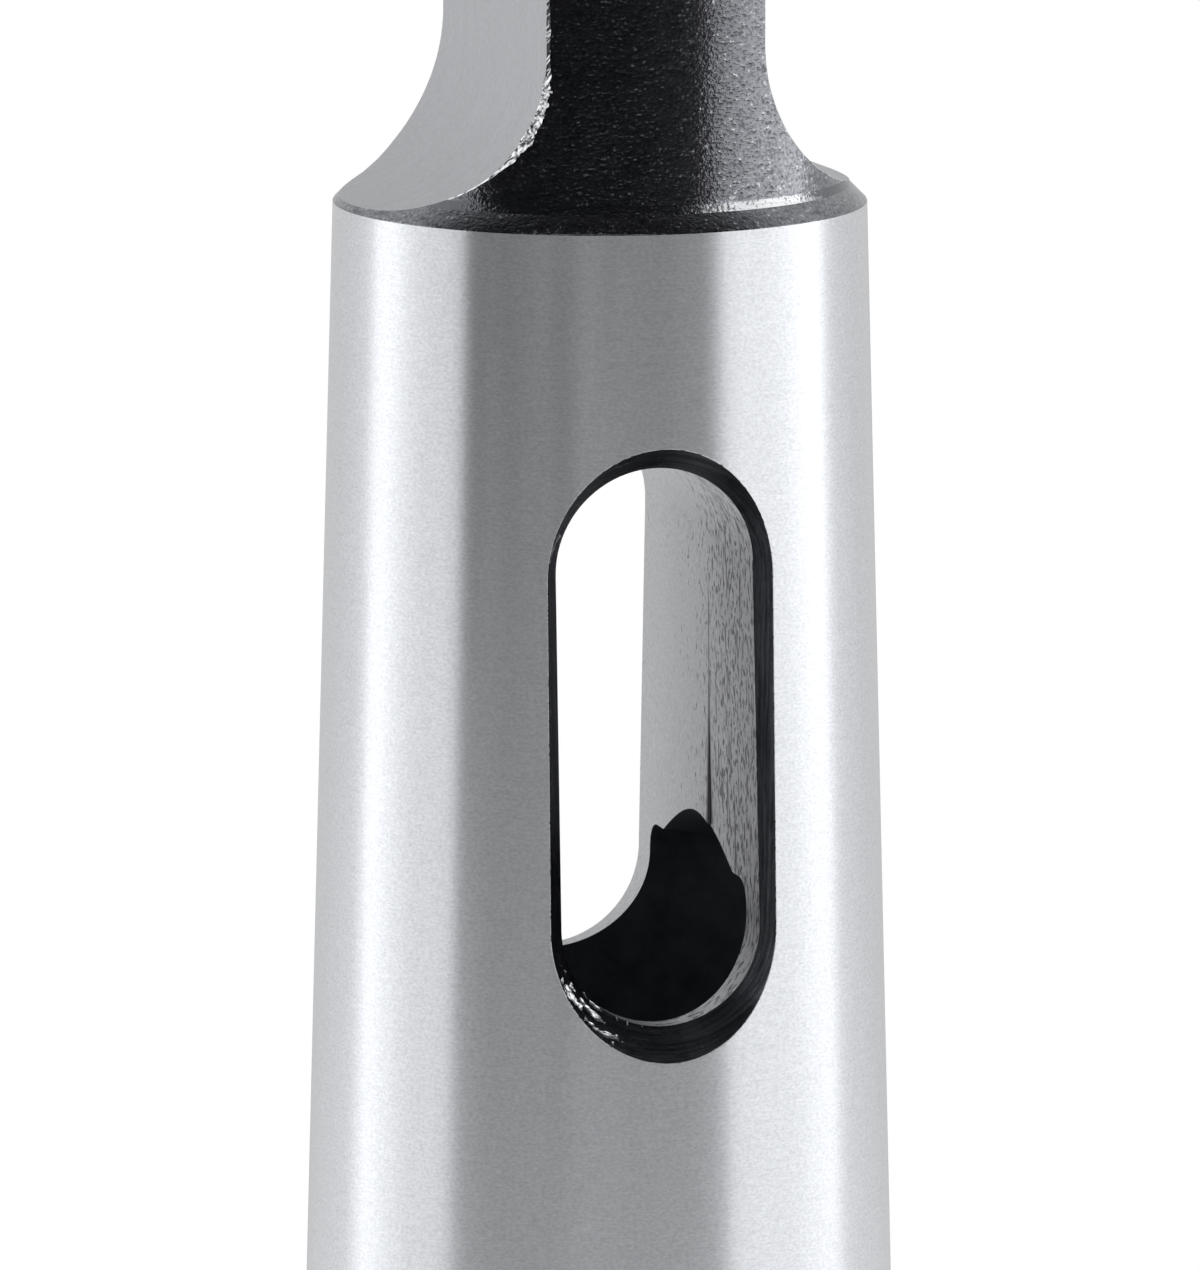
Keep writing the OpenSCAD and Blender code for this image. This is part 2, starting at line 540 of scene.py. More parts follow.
def roughen(bm, bite, share, grain):
    """Pushes a rod's skin in and out by a share of its bite, in strokes of this size."""
    wide, high, long = grain
    for v in bm.verts:
        place = v.co / MM
        # The strokes run down toward the slot's axis, as the cutter's teeth left the edge
        along = Vector((0, math.copysign(0.65, -place.y), -0.76))
        across = along.cross(Vector((1, 0, 0)))
        spot = Vector((place.x / wide, place.dot(across) / high, place.dot(along) / long))
        push = noise.noise(spot) + 0.6 * noise.noise(spot * 2.1)
        v.co += v.normal * push * share * bite(place) * MM


def file_along(body, run, closed, step, bite, radius, share, grain):
    """Lays a rod along the run and takes it away from the body."""
    bm = uneven_rod(even_steps(run, closed, step * MM), closed, bite, radius)
    roughen(bm, bite, share, grain)
    for face in bm.faces:
        face.material_index = skin_number["torn_edge"]
    take_away(body, skinned_object("uneven_rod", bm))


# %% Tear the tang's edges and nick the slot's


def eased(share):
    """A step from 0 to 1 without a kink, because a rod may not be bent sharply."""
    share = min(1, max(0, share))
    return share * share * (3 - 2 * share)


CLEAN_BITE = 0.012
TEAR_FROM = 93.6
BURST_UP_TO = 98.3
LIGHT_BITE, TORN_BITE, BURST_BITE = 0.02, 0.055, 0.14
TANG_ROD = 0.8
NICK = 0.014


def tang_tear(place):
    """The bite: deep low on the edge where the cutter left, faint where it entered."""
    if place.x * place.y < 0 or place.z < ROOT + 0.05:
        return CLEAN_BITE
    torn = eased((place.z - TEAR_FROM) / 2)
    burst = eased((BURST_UP_TO - place.z) / 1.5)
    ragged = 0.9 + 0.3 * noise.noise(Vector((place.z, place.x, 5)))
    tip = 0.3 + 0.7 * eased((LENGTH - 0.4 - place.z) / 2.5)
    return (LIGHT_BITE + TORN_BITE * torn + BURST_BITE * torn * burst) * ragged * tip


def fine_nick(place):
    """The slot's edge is nicked evenly all round."""
    return NICK


for run, closed in skin_borders(sleeve, "milled_flat", "black_skin", above=ROOT):
    file_along(sleeve, run, closed, 0.05, tang_tear, TANG_ROD, 0.62, (0.3, 0.1, 1.0))
    print("torn tang edge:", len(run), "points")
for run, closed in skin_borders(sleeve, "ground_taper", "slot_chamfer"):
    file_along(sleeve, run, closed, 0.12, fine_nick, NICK, 0.7, (0.4, 0.4, 0.4))
    print("nicked slot edge:", len(run), "points")

# %% Score the chamfer where the pointed cutter chattered


def on_chamfer(side, angle, depth, up=0.0):
    """A point on the chamfer's cone and its way out, by angle round the end and depth."""
    radius = SLOT_RADIUS + (CHAMFER_DEPTH - depth) * CHAMFER_SPREAD
    slope = math.atan(CHAMFER_SPREAD)
    place = Vector((radius * math.cos(angle), depth, radius * math.sin(angle) + up))
    inward = Vector((-math.cos(angle), 0, -math.sin(angle)))
    out = inward * math.cos(slope) - Vector((0, math.sin(slope), 0))
    tilt = Matrix.Rotation(-math.atan(OUTER_FALL), 3, "X")
    place.rotate(tilt)
    out.rotate(tilt)
    place += Vector((0, -taper_radius(SLOT_LOW), SLOT_LOW + CHAMFER_START))
    place.x -= CHAMFER_LEAN * (place.z - SLOT_MIDDLE)
    placed = Vector((-side * place.x + SLOT_ASIDE, -side * place.y, place.z)) * MM
    return placed, Vector((-side * out.x, -side * out.y, out.z))


CHAMFER_RUN = SLOT_HIGH - CHAMFER_STOP - SLOT_LOW - CHAMFER_START
SCORES = [
    # bite, height along the slot, then angles round its end with depths
    (0.075, 0, (203, 0.90), (213, 0.93), (223, 0.98)),
    (0.06, 0, (209, 1.27), (226, 1.20), (238, 1.14)),
    (0.06, 0, (225, 1.56), (237, 1.61)),
    (0.055, 0, (225, 0.66), (236, 0.60), (246, 0.77)),
    (0.03, 0, (208, 0.55), (219, 0.40)),
    (0.03, 0, (243.5, 1.6), (244.5, 1.62)),
    (0.03, 0, (250.5, 1.62), (251.5, 1.62)),
    (0.03, 0, (258.5, 1.66), (259.5, 1.66)),
    (0.03, 0, (247, 0.67), (248, 0.66)),
    (0.03, 0, (242, 0.42), (243, 0.42)),
    (0.02, 0, (198, 1.26), (204, 1.39)),
    (0.02, 0, (200, 1.65), (205, 1.64)),
    (0.02, 0, (219, 1.69), (223, 1.58)),
    (0.012, CHAMFER_RUN, (154.5, 1.13), (162, 1.02), (170, 0.97)),
]
SCORE_ROD = 0.32


def jumping(bite):
    """A bite that comes and goes along the score, as a cutter's chatter does."""
    return lambda place: bite * max(0.2, 0.8 + 1.1 * noise.noise(place * 2.5))


for side in (-1, 1):
    for bite, up, *spots in SCORES:
        run = [on_chamfer(side, math.radians(angle), depth, up) for angle, depth in spots]
        file_along(sleeve, run, False, 0.06, jumping(bite), SCORE_ROD, 0.6, (0.2, 0.2, 0.2))
print("after the tears:", len(sleeve.data.polygons), "faces")

# %% [markdown]
# ## Smooth light on a cut mesh
# After the cuts, a flat facet on the taper and a many-sided face beside the slot would
# each shade in their own way, and ground steel shows the slightest error. The normals
# are first weighted by face size, which keeps each wide face true. Then the ones on
# turned skins are pointed straight away from the axis, and the ground taper and the
# milled flats get the exact normals of the cone, the plane and the run-out.

# %% True up the normals
TURNED_SKINS = {
    "ground_taper",
    "black_skin",
    "bored_relief",
    "ground_socket",
    "faced_end",
    "bright_root",
}
TRUE_TAPER = math.cos(math.radians(1))
STEEP = math.radians(28)
WELD_ROUNDS = 6


def weld_slivers(bm, shortest=3e-7):
    """Welds the ends of the shortest edges, where that leaves the surface closed."""
    for _ in range(WELD_ROUNDS):
        taken, welds = set(), {}
        tiny = [edge for edge in bm.edges if edge.calc_length() <= shortest]
        for edge in sorted(tiny, key=lambda edge: sorted(tuple(v.co) for v in edge.verts)):
            a, b = sorted(edge.verts, key=lambda v: tuple(v.co))
            near_a = {e.other_vert(a) for e in a.link_edges}
            near_b = {e.other_vert(b) for e in b.link_edges}
            if len(near_a & near_b) == 2 and not (near_a | near_b) & taken:
                welds[a] = b
                taken |= near_a | near_b
        bmesh.ops.weld_verts(bm, targetmap=welds)
        if not welds:
            break


def mark_sharp_edges(body):
    """Sharp where the angle is steep, and wherever two skins meet."""
    bm = bmesh.new()
    bm.from_mesh(body.data)
    bmesh.ops.triangulate(bm, faces=bm.faces)
    weld_slivers(bm)
    for edge in bm.edges:
        steep = edge.calc_face_angle(math.pi) > STEEP
        edge.smooth = not steep and len({f.material_index for f in edge.link_faces}) == 1
    for face in bm.faces:
        face.smooth = True
    bm.to_mesh(body.data)
    bm.free()


def weigh_normals(body):
    """Lets each wide face decide the normals at its corners."""
    weigh = body.modifiers.new("weigh", "WEIGHTED_NORMAL")
    weigh.keep_sharp, weigh.weight = True, 90
    apply_modifiers(body)


def turned_normal(place, lean, true_taper):
    """The normal turned straight away from the axis, and on the taper that of its cone."""
    away = Vector((place.x, place.y, 0))
    if away.length < 1e-5:
        return lean
    away.normalize()
    if true_taper:
        return (away + Vector((0, 0, OUTER_FALL))).normalized()
    outward = math.copysign(math.hypot(lean.x, lean.y), lean.dot(away))
    return (away * outward + Vector((0, 0, lean.z))).normalized()


def flat_normal(place):
    """The normal of a milled flat, or below it of the round run-out."""
    side = 1 if place.x > 0 else -1
    wall, start = FLATS[side]
    place = place / MM
    if place.z >= start:
        return Vector((side, 0, 0))
    return Vector((side * (wall + RUNOUT_RADIUS) - place.x, 0, start - place.z)).normalized()


def true_up_normals(body):
    """Gives turned and milled faces the normals of their true forms."""
    mesh = body.data
    normals = [n.vector.copy() for n in mesh.corner_normals]
    for face in mesh.polygons:
        skin = SKINS[face.material_index]
        away = Vector((face.center.x, face.center.y, 0)).normalized()
        on_cone = face.normal.dot((away + Vector((0, 0, OUTER_FALL))).normalized()) > TRUE_TAPER
        for corner in face.loop_indices:
            place = mesh.vertices[mesh.loops[corner].vertex_index].co
            lean = normals[corner]
            if skin in TURNED_SKINS:
                normals[corner] = turned_normal(place, lean, on_cone and skin == "ground_taper")
            elif skin == "milled_flat":
                normals[corner] = flat_normal(place)
            elif skin == "slot_wall" and abs(lean.y) < 0.5:
                normals[corner] = Vector((lean.x, 0, lean.z)).normalized()
    mesh.normals_split_custom_set(normals)


mark_sharp_edges(sleeve)
weigh_normals(sleeve)
true_up_normals(sleeve)
triangles = sum(len(p.vertices) - 2 for p in sleeve.data.polygons)
print("sleeve:", len(sleeve.data.vertices), "vertices,", triangles, "triangles")

# %% [markdown]
# ## Finishes
# Every finish is worked out from Object coordinates, so it stays on the metal from
# any side. A pattern of marks is a noise that is stretched along the tool's travel:
# round the axis on turned and ground skins, along X and Z on milled ones. Sizes of
# the marks are in millimetres, which makes them easy to compare with a real part.

# %% Helpers for the finishes


def add(tree, kind, links=None, **settings):
    """Adds one shader node, with its settings and its sockets' values or links."""
    made = tree.nodes.new("ShaderNode" + kind)
    for name, value in settings.items():
        setattr(made, name, value)
    for socket, value in (links or {}).items():
        if isinstance(value, bpy.types.NodeSocket):
            tree.links.new(value, made.inputs[socket])
        else:
            made.inputs[socket].default_value = value
    return made


def marks(tree, size, detail=3, rough=0.55, shift=0.0, turned=(0, 0, 0)):
    """Noise whose grains have this size in millimetres along its own, perhaps turned, axes."""
    place = add(tree, "TexCoord").outputs["Object"]
    stretched = add(
        tree,
        "Mapping",
        {
            "Vector": place,
            "Location": (shift * MM, shift * MM, shift * MM),
            "Rotation": turned,
            "Scale": [side * MM for side in size],
        },
        vector_type="TEXTURE",
    ).outputs["Vector"]
    return add(
        tree,
        "TexNoise",
        {"Vector": stretched, "Scale": 1.0, "Detail": detail, "Roughness": rough},
    ).outputs["Fac"]


def between(tree, value, low, high, new_low=0.0, new_high=1.0):
    """Maps a value from one range to another, held inside the new one."""
    ends = {"From Min": low, "From Max": high, "To Min": new_low, "To Max": new_high}
    return add(tree, "MapRange", {"Value": value, **ends}, clamp=True).outputs["Result"]


def combine(tree, how, a, b=0.0):
    """One sum, product or other simple step on one or two values."""
    return add(tree, "Math", {0: a, 1: b}, operation=how).outputs["Value"]


def blend(tree, first, second, share):
    """Two patterns in one, with this share of the second."""
    return combine(
        tree,
        "ADD",
        combine(tree, "MULTIPLY", first, 1 - share),
        combine(tree, "MULTIPLY", second, share),
    )


COLOUR_SOCKETS, MIXED_COLOUR = (6, 7), 2


def tint(tree, share, dark, light):
    """A colour between two, by a share from 0 to 1. Each may be a colour or a socket."""
    made = add(tree, "Mix", data_type="RGBA")
    tree.links.new(share, made.inputs["Factor"])
    for number, colour in zip(COLOUR_SOCKETS, (dark, light)):
        if isinstance(colour, bpy.types.NodeSocket):
            tree.links.new(colour, made.inputs[number])
        else:
            made.inputs[number].default_value = (*colour, 1)
    return made.outputs[MIXED_COLOUR]


def bumps(tree, layers):
    """Stacks bumps: each layer is a height from 0 to 1 and its depth in micrometres."""
    normal = None
    for height, depth in layers:
        links = {"Height": height, "Distance": depth * MICROMETRE, "Strength": 1.0}
        if normal is not None:
            links["Normal"] = normal
        normal = add(tree, "Bump", links).outputs["Normal"]
    return normal


def start_finish(skin):
    """Clears a skin's material and gives its tree and its main shader."""
    material = skin_material[skin]
    material.use_nodes = True
    tree = material.node_tree
    tree.nodes.clear()
    shader = add(tree, "BsdfPrincipled")
    add(tree, "OutputMaterial", {"Surface": shader.outputs["BSDF"]})
    return tree, shader


def set_finish(tree, shader, **sockets):
    """Sets or links the main shader's sockets, named with _ for a space."""
    for name, value in sockets.items():
        socket = shader.inputs[name.replace("_", " ").title().replace("Ior", "IOR")]
        if isinstance(value, bpy.types.NodeSocket):
            tree.links.new(value, socket)
        else:
            socket.default_value = value


print("helpers ready")

# %% [markdown]
# ### Ground taper
# The grinding wheel runs round the sleeve and leaves short, fine scratches that lie
# level. Such scratches spread a reflection up and down but hardly sideways, which is
# why the lamps show as long upright bands with crisp sides. Anisotropy of the main
# shader does that, turned a quarter so that the spread runs along the axis. The
# visible grain comes on top, as bump and as small changes of tone and roughness.

# %% Ground taper
tree, shader = start_finish("ground_taper")
grain = marks(tree, (0.15, 0.15, 0.085), detail=1, rough=0.6)
scratches = marks(tree, (0.9, 0.9, 0.06), detail=1, rough=0.5, shift=11)
chatter_bands = marks(tree, (1.6, 1.6, 60), detail=1, shift=5)
tone = between(tree, blend(tree, grain, scratches, 0.25), 0.3, 0.7)
set_finish(
    tree,
    shader,
    base_color=tint(tree, tone, (0.535, 0.548, 0.572), (0.695, 0.71, 0.735)),
    metallic=1.0,
    roughness=between(tree, chatter_bands, 0.3, 0.7, 0.3, 0.37),
    anisotropic=0.9,
    anisotropic_rotation=0.25,
    normal=bumps(tree, [(scratches, 0.4), (grain, 0.6)]),
)
print("ground taper:", len(tree.nodes), "nodes")

# %% [markdown]
# ### Black skin
# Turned surfaces that no wheel touched after hardening keep a black oxide skin. It is
# dark and quite glossy, so it shows only what is bright. Handling has rubbed it from
# the crests of the turning lines, and where the skin faces a lamp, each worn crest is
# a white dot or dash. One height drives the tone and the bump, so that they agree.
# The colour is painted darker where the skin faces the camera, and on the back, and
# lighter grey toward the sides seen edge-on, where the lamps mirror in it: a painted sheen.

# %% Black skin
SKIN_RELIEF = 27  # micrometres
# The camera's azimuth. The painted sheen is laid where the skin lies near the upright plane
# through the axis that is square to it, that is toward the sides that the camera sees edge-on.
CAMERA_FACING_AZIMUTH = math.radians(-104)
UNSHEENED_FROM, FULL_SHEEN_UP_TO = 8.6 * MM, 7.2 * MM


def skin_height(tree):
    """The height of the turned and hardened skin: level turning lines and pebbles."""
    turning = marks(tree, (0.5, 0.5, 0.13), detail=2, rough=0.6)
    pebbles = marks(tree, (0.14, 0.14, 0.13), detail=1, rough=0.6, shift=3)
    return blend(tree, turning, pebbles, 0.58)


def out_from_middle(tree, azimuth):
    """Distance from the upright plane through the axis that is square to an azimuth."""
    facing = (math.cos(azimuth), math.sin(azimuth), 0)
    place = add(tree, "TexCoord").outputs["Object"]
    along = add(tree, "VectorMath", {0: place, 1: facing}, operation="DOT_PRODUCT")
    return combine(tree, "ABSOLUTE", along.outputs["Value"])


tree, shader = start_finish("black_skin")
height = skin_height(tree)
patches = marks(tree, (2.5, 2.5, 1.6), detail=3, shift=9)
pitting = between(tree, height, 0.36, 0.52)
# A plain oxide colour and a lighter copy of it, the painted sheen, which is mixed in toward the
# sides where the lamps mirror in the skin.
plain_oxide = tint(tree, pitting, (0.05, 0.052, 0.058), (0.1, 0.103, 0.113))
oxide_with_painted_sheen = tint(tree, pitting, (0.1, 0.103, 0.115), (0.21, 0.216, 0.232))
painted_sheen_share = between(tree, out_from_middle(tree, CAMERA_FACING_AZIMUTH), UNSHEENED_FROM, FULL_SHEEN_UP_TO)
oxide = tint(tree, painted_sheen_share, plain_oxide, oxide_with_painted_sheen)
worn = tint(tree, between(tree, height, 0.6, 0.68), oxide, (0.42, 0.43, 0.45))
set_finish(
    tree,
    shader,
    base_color=worn,
    metallic=1.0,
    roughness=between(tree, patches, 0.3, 0.7, 0.14, 0.2),
    normal=bumps(tree, [(height, SKIN_RELIEF)]),
)
print("black skin:", len(tree.nodes), "nodes")

# %% [markdown]
# ### Milled flats and slot walls
# A milling cutter's marks lie at one distance from the Y faces all along its travel,
# so they run up the flat, round the hollow run-out, and up and over the slot's wall.
# One stretched noise that is fine only along Y follows them all. The slot's wall also
# has torn drag marks, short and dark, on the side of each cut where the cutter's
# teeth left the steel. The other side of the same cut is clean.

# %% Milled flats
tree, shader = start_finish("milled_flat")
strokes = marks(tree, (3, 0.09, 3), detail=3, rough=0.6, shift=1)
haze = marks(tree, (1.8, 0.8, 1.8), detail=3, shift=4)
speckle = marks(tree, (0.16, 0.16, 0.2), detail=2, shift=14)
mixed = blend(tree, strokes, speckle, 0.5)
tone = between(tree, mixed, 0.3, 0.7)
set_finish(
    tree,
    shader,
    base_color=tint(tree, tone, (0.37, 0.376, 0.394), (0.51, 0.518, 0.542)),
    metallic=1.0,
    roughness=between(tree, combine(tree, "ADD", strokes, haze), 0.7, 1.3, 0.36, 0.44),
    normal=bumps(tree, [(haze, 3.0), (mixed, 2.5)]),
)
print("milled flats:", len(tree.nodes), "nodes")

# %% Slot walls
LAP_INNER, LAP_OUTER = 0.12 * MM, 0.2 * MM
LAP_FADES_FROM, LAP_FADES_TO = 76.5 * MM, 78.5 * MM
tree, shader = start_finish("slot_wall")
place = add(tree, "SeparateXYZ", {0: add(tree, "TexCoord").outputs["Object"]})
wall_side = combine(tree, "SIGN", place.outputs["X"])
torn_side = combine(tree, "MULTIPLY", place.outputs["Y"], wall_side)
crowding = between(tree, torn_side, 4 * MM, -4 * MM, -0.13, 0.03)
long_drags = marks(tree, (2.2, 0.3, 2.2), detail=2, rough=0.6, shift=1)
short_drags = marks(tree, (0.42, 0.24, 0.42), detail=2, rough=0.6, shift=8)
mottling = marks(tree, (0.9, 0.7, 0.9), detail=3, rough=0.6, shift=12)
long_tears = between(tree, combine(tree, "ADD", long_drags, crowding), 0.63, 0.7)
short_tears = between(tree, combine(tree, "ADD", short_drags, crowding), 0.54, 0.65)
lap = combine(tree, "ABSOLUTE", combine(tree, "SUBTRACT", torn_side, CUTS_MEET * MM))
lap_line = combine(
    tree,
    "MULTIPLY",
    between(tree, lap, LAP_OUTER, LAP_INNER),
    between(tree, place.outputs["Z"], LAP_FADES_TO, LAP_FADES_FROM),
)
tears = combine(tree, "MAXIMUM", combine(tree, "MAXIMUM", long_tears, short_tears), lap_line)
speckle = marks(tree, (0.14, 0.14, 0.14), detail=2, shift=6)
tone = between(tree, speckle, 0.3, 0.7)
clean_wall = tint(tree, tone, (0.4, 0.406, 0.42), (0.53, 0.537, 0.555))
grazed = combine(
    tree,
    "MULTIPLY",
    between(tree, mottling, 0.35, 0.6),
    between(tree, crowding, -0.04, 0.02, 0, 0.7),
)
grazed_wall = tint(tree, grazed, clean_wall, (0.45, 0.456, 0.47))
wall_colour = tint(tree, tears, grazed_wall, (0.22, 0.223, 0.233))
set_finish(
    tree,
    shader,
    base_color=wall_colour,
    metallic=1.0,
    roughness=between(tree, tears, 0.0, 1.0, 0.42, 0.55),
    normal=bumps(tree, [(speckle, 4), (combine(tree, "SUBTRACT", 1.0, tears), 12)]),
)
print("slot walls:", len(tree.nodes), "nodes")

# %% [markdown]
# ### Slot chamfer
# The chamfer was cut before hardening, so it is black too, but smoother than the
# turned skin. The pointed cutter left fine lines along the edge.

# %% Slot chamfer
tree, shader = start_finish("slot_chamfer")
tool_lines = marks(tree, (3.0, 0.1, 3.0), detail=3, rough=0.6)
waves = marks(tree, (0.5, 0.18, 0.5), detail=3, shift=2)
tone = between(tree, tool_lines, 0.36, 0.7)
set_finish(
    tree,
    shader,
    base_color=tint(tree, tone, (0.075, 0.079, 0.09), (0.19, 0.197, 0.213)),
    metallic=1.0,
    roughness=between(tree, waves, 0.3, 0.7, 0.18, 0.28),
    normal=bumps(tree, [(waves, 4), (tool_lines, 3)]),
)
print("slot chamfer:", len(tree.nodes), "nodes")

# %% [markdown]
# ### Inside, end, root and torn edge
# The relief was bored and keeps a dull, sooty black skin with coarse boring rings, so
# it swallows the light. The socket is ground like the outside. The open end is faced,
# so its marks are rings about the axis. At the root of the tang the small bevel is
# painted as bare bright steel only in a band that faces halfway between the camera and
# the right lamp, where that lamp mirrors in it: a painted highlight. The rest of that
# bevel is still black.
# The torn edge is fresh bright steel with black left in its pits.

# %% Bored relief
tree, shader = start_finish("bored_relief")
boring_rings = marks(tree, (8, 8, 0.22), detail=3, rough=0.5)
soot = marks(tree, (1.2, 1.2, 1.2), detail=3, shift=7)
tone = between(tree, soot, 0.3, 0.7)
set_finish(
    tree,
    shader,
    base_color=tint(tree, tone, (0.04, 0.044, 0.05), (0.07, 0.077, 0.088)),
    metallic=0.0,
    ior=1.25,
    roughness=between(tree, soot, 0.3, 0.7, 0.5, 0.65),
    normal=bumps(tree, [(boring_rings, 9)]),
)
print("bored relief:", len(tree.nodes), "nodes")

# %% Ground socket
tree, shader = start_finish("ground_socket")
grain = marks(tree, (0.7, 0.7, 0.07), detail=4, rough=0.6, shift=13)
haze = marks(tree, (3, 3, 2), detail=2, shift=15)
tone = between(tree, grain, 0.35, 0.65)
set_finish(
    tree,
    shader,
    base_color=tint(tree, tone, (0.54, 0.543, 0.55), (0.63, 0.633, 0.64)),
    metallic=1.0,
    roughness=between(tree, haze, 0.3, 0.7, 0.28, 0.36),
    anisotropic=0.8,
    anisotropic_rotation=0.25,
    normal=bumps(tree, [(grain, 1.2)]),
)
print("ground socket:", len(tree.nodes), "nodes")

# %% Faced end
tree, shader = start_finish("faced_end")
rings = add(
    tree,
    "TexWave",
    {
        "Vector": add(tree, "TexCoord").outputs["Object"],
        "Scale": 1500.0,
        "Distortion": 0.6,
        "Detail": 2.0,
    },
    wave_type="RINGS",
    rings_direction="Z",
).outputs["Fac"]
haze = marks(tree, (1.5, 1.5, 1.5), detail=3, shift=21)
tone = between(tree, haze, 0.3, 0.7)
set_finish(
    tree,
    shader,
    base_color=tint(tree, tone, (0.46, 0.463, 0.47), (0.56, 0.563, 0.57)),
    metallic=1.0,
    roughness=between(tree, rings, 0.0, 1.0, 0.28, 0.38),
    normal=bumps(tree, [(rings, 2.5)]),
)
print("faced end:", len(tree.nodes), "nodes")

# %% Bright root
# Halfway between the camera and the right lamp: the bare steel colour is laid in a band about
# this azimuth, where that lamp mirrors in the bevel, as a painted highlight.
LAMP_MIRROR_AZIMUTH = math.radians(-62)
BLACK_UP_TO, BARE_FROM = 8.9 * MM, 9.2 * MM
tree, shader = start_finish("bright_root")
rubbing = marks(tree, (0.8, 0.8, 0.05), detail=2, shift=17)
specks = marks(tree, (0.12, 0.12, 0.12), detail=2, shift=19)
toward_lamp_mirror = combine(
    tree,
    "ADD",
    out_from_middle(tree, LAMP_MIRROR_AZIMUTH),
    between(tree, specks, 0.3, 0.7, -0.3 * MM, 0.3 * MM),
)
# The share of bare steel colour: the painted highlight of the right lamp, with a speckled
# border.
painted_highlight_band = between(tree, toward_lamp_mirror, BLACK_UP_TO, BARE_FROM)
bare = tint(tree, between(tree, rubbing, 0.3, 0.7), (0.36, 0.365, 0.375), (0.54, 0.548, 0.565))
left_black = combine(tree, "MULTIPLY", skin_height(tree), combine(tree, "SUBTRACT", 1.0, painted_highlight_band))
set_finish(
    tree,
    shader,
    base_color=tint(tree, painted_highlight_band, (0.12, 0.124, 0.136), bare),
    metallic=1.0,
    roughness=between(tree, rubbing, 0.3, 0.7, 0.17, 0.23),
    normal=bumps(tree, [(rubbing, 0.7), (left_black, SKIN_RELIEF)]),
)
print("bright root:", len(tree.nodes), "nodes")

# %% Torn edge
STROKE_LEAN = math.radians(-49.5)
SOOT_FROM, SOOT_FULL = 97.0 * MM, 98.2 * MM
tree, shader = start_finish("torn_edge")
strokes = marks(tree, (0.3, 0.9, 0.075), detail=2, shift=31, turned=(STROKE_LEAN, 0, 0))
place = add(tree, "SeparateXYZ", {0: add(tree, "TexCoord").outputs["Object"]})
sooty = between(tree, place.outputs["Z"], SOOT_FROM, SOOT_FULL, 0.0, 0.17)
bare = combine(tree, "SUBTRACT", strokes, sooty)
tone = between(tree, bare, 0.36, 0.46)
set_finish(
    tree,
    shader,
    base_color=tint(tree, tone, (0.045, 0.046, 0.052), (0.68, 0.69, 0.71)),
    metallic=1.0,
    roughness=between(tree, bare, 0.3, 0.6, 0.4, 0.28),
    normal=bumps(tree, [(strokes, 4)]),
)
print("torn edge:", len(tree.nodes), "nodes")

# %% [markdown]
# ## Camera
# The photo was taken with a long lens from 0.7 m, 14 degrees to the left of the
# slot's axis and a little above. The numbers come from fitting the outline, the
# shoulder's ellipse and the slot's edges, and the sleeve's lower half stays out of
# the picture, as in the photo.

# %% Place the camera
CAMERA_TURN = math.radians(13.834)
CAMERA_DISTANCE = 0.700
CAMERA_HEIGHT = 0.186156
CAMERA_PITCH = 0.156909
CAMERA_ROLL = 0.0011
CAMERA_ASIDE = 0.0000225
FOCAL_PIXELS = 18776.5
FRAME_PIXELS = 1270
SENSOR = 36.0
to_camera = Vector((-math.sin(CAMERA_TURN), -math.cos(CAMERA_TURN), 0))
to_right = Vector((math.cos(CAMERA_TURN), -math.sin(CAMERA_TURN), 0))
forward = Vector((0, 0, -math.sin(CAMERA_PITCH))) - to_camera * math.cos(CAMERA_PITCH)
upward = to_right.cross(forward)
level = math.cos(CAMERA_ROLL) * to_right + math.sin(CAMERA_ROLL) * upward
upright = math.cos(CAMERA_ROLL) * upward - math.sin(CAMERA_ROLL) * to_right
axes = Matrix((level, upright, -forward)).transposed()

lens = bpy.data.cameras.new("camera")
lens.sensor_width = SENSOR
lens.lens = FOCAL_PIXELS / FRAME_PIXELS * SENSOR
lens.clip_start, lens.clip_end = 0.05, 20
camera = bpy.data.objects.new("camera", lens)
bpy.context.scene.collection.objects.link(camera)
camera.location = to_camera * CAMERA_DISTANCE + to_right * CAMERA_ASIDE
camera.location.z = CAMERA_HEIGHT
camera.rotation_euler = axes.to_euler()
bpy.context.scene.camera = camera
print("lens:", round(lens.lens, 1), "mm, camera at", [round(x, 4) for x in camera.location])

# %% [markdown]
# ## Studio
# The sleeve stands on a small pale table before a white background, between two tall
# soft lamps. The room behind the camera is dim. Polished metal shows its
# surroundings, so the lamps' places decide where the bright bands fall: a face turned
# by some angle from the camera shows what lies at twice that angle. A low card in
# front lights the forms that look down, and a high one lights those that look up.

# %% The table
TABLE_RADIUS = 0.22
table_mesh = bmesh.new()
bmesh.ops.create_circle(table_mesh, cap_ends=True, segments=128, radius=TABLE_RADIUS)
table_data = bpy.data.meshes.new("table")
table_mesh.to_mesh(table_data)
table_mesh.free()
table = bpy.data.objects.new("table", table_data)
bpy.context.scene.collection.objects.link(table)

pale = bpy.data.materials.new("pale_table")
pale.use_nodes = True
tree = pale.node_tree
tree.nodes.clear()
seen = add(tree, "LightPath").outputs
shown = combine(
    tree,
    "MAXIMUM",
    seen["Is Camera Ray"],
    combine(tree, "MAXIMUM", seen["Is Glossy Ray"], seen["Is Transmission Ray"]),
)
painted = add(tree, "BsdfDiffuse", {"Color": (0.86, 0.86, 0.86, 1)})
strength = combine(tree, "MULTIPLY", shown, 0.45)
glow = add(tree, "Emission", {"Color": (1, 1, 1, 1), "Strength": strength})
both = add(tree, "AddShader", {0: painted.outputs[0], 1: glow.outputs[0]})
add(tree, "OutputMaterial", {"Surface": both.outputs[0]})
table.data.materials.append(pale)
print("table:", 2 * TABLE_RADIUS, "m across")

# %% The lamps


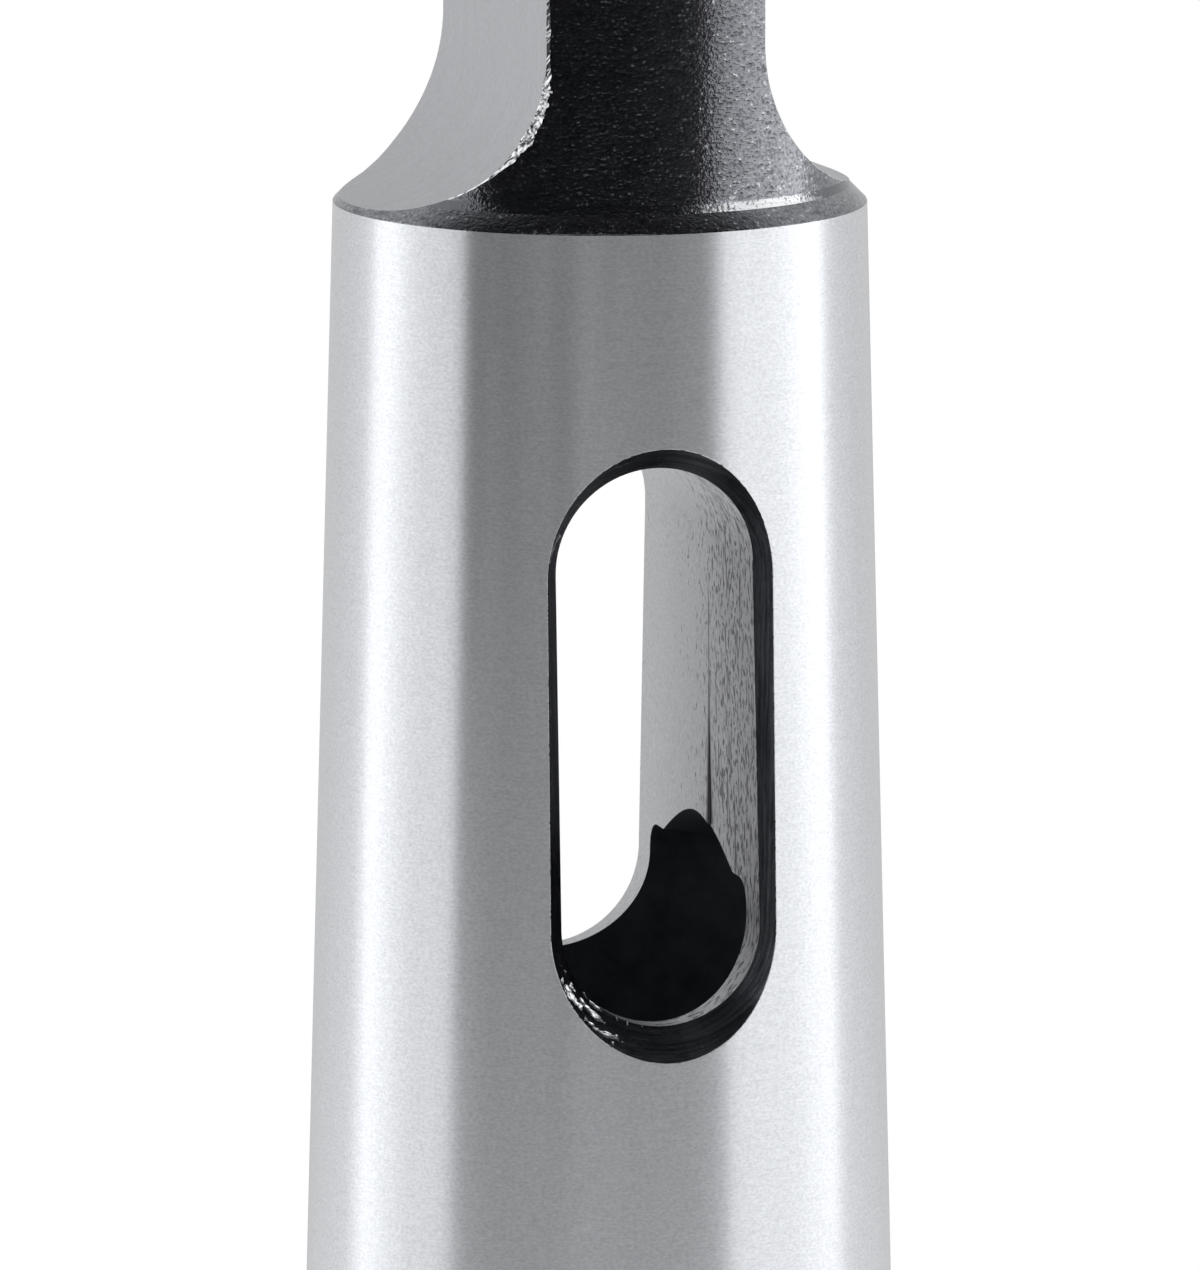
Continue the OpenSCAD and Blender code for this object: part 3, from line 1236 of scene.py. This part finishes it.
def soft_lamp(name, azimuth, distance, width, low, high, radiance):
    """An upright soft lamp at an angle from the camera, positive to the right."""
    angle = math.radians(azimuth)
    way = to_camera * math.cos(angle) + to_right * math.sin(angle)
    data = bpy.data.lights.new(name, "AREA")
    data.shape, data.size, data.size_y = "RECTANGLE", width, high - low
    data.energy = radiance * math.pi * width * (high - low)
    lamp = bpy.data.objects.new(name, data)
    bpy.context.scene.collection.objects.link(lamp)
    lamp.location = way * distance + Vector((0, 0, (low + high) / 2))
    lamp.rotation_euler = way.to_track_quat("Z", "Y").to_euler()
    lamp.visible_camera = False
    return lamp


lamps = [
    soft_lamp("right_lamp", 81, 0.36, 0.399, 0.01, 0.38, 1.62),
    soft_lamp("left_lamp", -86, 0.36, 0.351, -0.04, 0.40, 1.1),
    soft_lamp("low_card", 22, 0.34, 0.40, -0.14, -0.02, 0.6),
    soft_lamp("high_card", 0, 0.36, 0.45, 0.48, 0.80, 1.6),
]
print("lamps:", len(lamps))

# %% The room
world = bpy.data.worlds.new("room")
bpy.context.scene.world = world
world.use_nodes = True
tree = world.node_tree
tree.nodes.clear()
seen = add(tree, "LightPath").outputs
way = add(tree, "TexCoord").outputs["Generated"]


def along(tree, direction):
    """How far a ray of the room goes in a direction, from -1 to 1."""
    ends = {0: way, 1: tuple(direction)}
    return add(tree, "VectorMath", ends, operation="DOT_PRODUCT").outputs["Value"]


DARK_BAND = 0.46
toward_camera = along(tree, to_camera)
toward_right = along(tree, to_right)
behind = between(tree, toward_camera, -1.0, -0.45, 0.7, 1.0)
rise = add(tree, "SeparateXYZ", {0: way}).outputs["Z"]
off_band = combine(tree, "ABSOLUTE", combine(tree, "SUBTRACT", rise, DARK_BAND))
in_front = combine(
    tree,
    "MULTIPLY",
    between(tree, toward_right, 0.2, 0.85, 0.055, 0.15),
    between(tree, off_band, 0.1, 0.25, 0.25, 1.0),
)
dim_share = between(tree, toward_camera, -0.35, 0.1)
mirrored = tint(tree, dim_share, behind, in_front)
in_metal = combine(tree, "MAXIMUM", seen["Is Glossy Ray"], seen["Is Transmission Ray"])
lit = tint(tree, in_metal, (0.55, 0.55, 0.55), mirrored)
backdrop = add(
    tree,
    "Background",
    {"Color": tint(tree, seen["Is Camera Ray"], lit, (1, 1, 1)), "Strength": 1.0},
)
add(tree, "OutputWorld", {"Surface": backdrop.outputs[0]})
bpy.context.scene.view_settings.view_transform = "Standard"
print("room: white background, dim behind the camera")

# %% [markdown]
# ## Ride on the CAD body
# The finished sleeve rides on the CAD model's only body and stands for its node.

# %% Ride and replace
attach(sleeve, "root")
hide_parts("sleeve")
